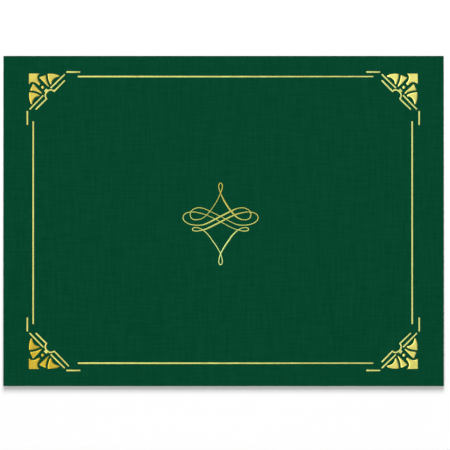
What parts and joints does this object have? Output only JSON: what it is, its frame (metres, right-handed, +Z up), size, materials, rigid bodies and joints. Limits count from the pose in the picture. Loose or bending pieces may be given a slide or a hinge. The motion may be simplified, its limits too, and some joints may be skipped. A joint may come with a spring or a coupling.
{
  "type": "diploma cover",
  "caption": "Folded linen card cover that opens like a book, with a gold foil frame, corner fans and a flourish, and corner slits inside for a certificate.",
  "frame": {"origin": "under the centre of the closed cover, on the surface it lies on", "axes": "+X to the right across the front, +Y from the open edge to the fold, +Z up out of the front cover"},
  "size_m": [0.3048, 0.2286, 0.0058],
  "materials": {
    "card": "dark green card, dyed through, with a fine linen emboss on both faces",
    "foil": "hot-stamped metallic gold foil, softly mirrored"
  },
  "bodies": {
    "back": {"back_cover": "card"},
    "front": {"front_cover": "card", "foil_bottom_left_dash_a": "foil", "foil_bottom_left_dash_b": "foil", "foil_bottom_left_dot": "foil", "foil_bottom_left_inner_line": "foil", "foil_bottom_left_inner_petal_a": "foil", "foil_bottom_left_inner_petal_b": "foil", "foil_bottom_left_keystone": "foil", "foil_bottom_left_outer_line_a": "foil", "foil_bottom_left_outer_line_b": "foil", "foil_bottom_left_outer_petal_a": "foil", "foil_bottom_left_outer_petal_b": "foil", "foil_bottom_right_dash_a": "foil", "foil_bottom_right_dash_b": "foil", "foil_bottom_right_dot": "foil", "foil_bottom_right_inner_line": "foil", "foil_bottom_right_inner_petal_a": "foil", "foil_bottom_right_inner_petal_b": "foil", "foil_bottom_right_keystone": "foil", "foil_bottom_right_outer_line_a": "foil", "foil_bottom_right_outer_line_b": "foil", "foil_bottom_right_outer_petal_a": "foil", "foil_bottom_right_outer_petal_b": "foil", "foil_flourish": "foil", "foil_rule_bottom": "foil", "foil_rule_left": "foil", "foil_rule_right": "foil", "foil_rule_top": "foil", "foil_top_left_dash_a": "foil", "foil_top_left_dash_b": "foil", "foil_top_left_dot": "foil", "foil_top_left_inner_line": "foil", "foil_top_left_inner_petal_a": "foil", "foil_top_left_inner_petal_b": "foil", "foil_top_left_keystone": "foil", "foil_top_left_outer_line_a": "foil", "foil_top_left_outer_line_b": "foil", "foil_top_left_outer_petal_a": "foil", "foil_top_left_outer_petal_b": "foil", "foil_top_right_dash_a": "foil", "foil_top_right_dash_b": "foil", "foil_top_right_dot": "foil", "foil_top_right_inner_line": "foil", "foil_top_right_inner_petal_a": "foil", "foil_top_right_inner_petal_b": "foil", "foil_top_right_keystone": "foil", "foil_top_right_outer_line_a": "foil", "foil_top_right_outer_line_b": "foil", "foil_top_right_outer_petal_a": "foil", "foil_top_right_outer_petal_b": "foil"}
  },
  "joints": [
    {"name": "cover_fold", "type": "hinge", "parent": "back", "child": "front", "pos_m": [0, 0.1143, 0.0005], "axis": [-1, 0, 0], "range_deg": [-1.2, 176.8]}
  ]
}
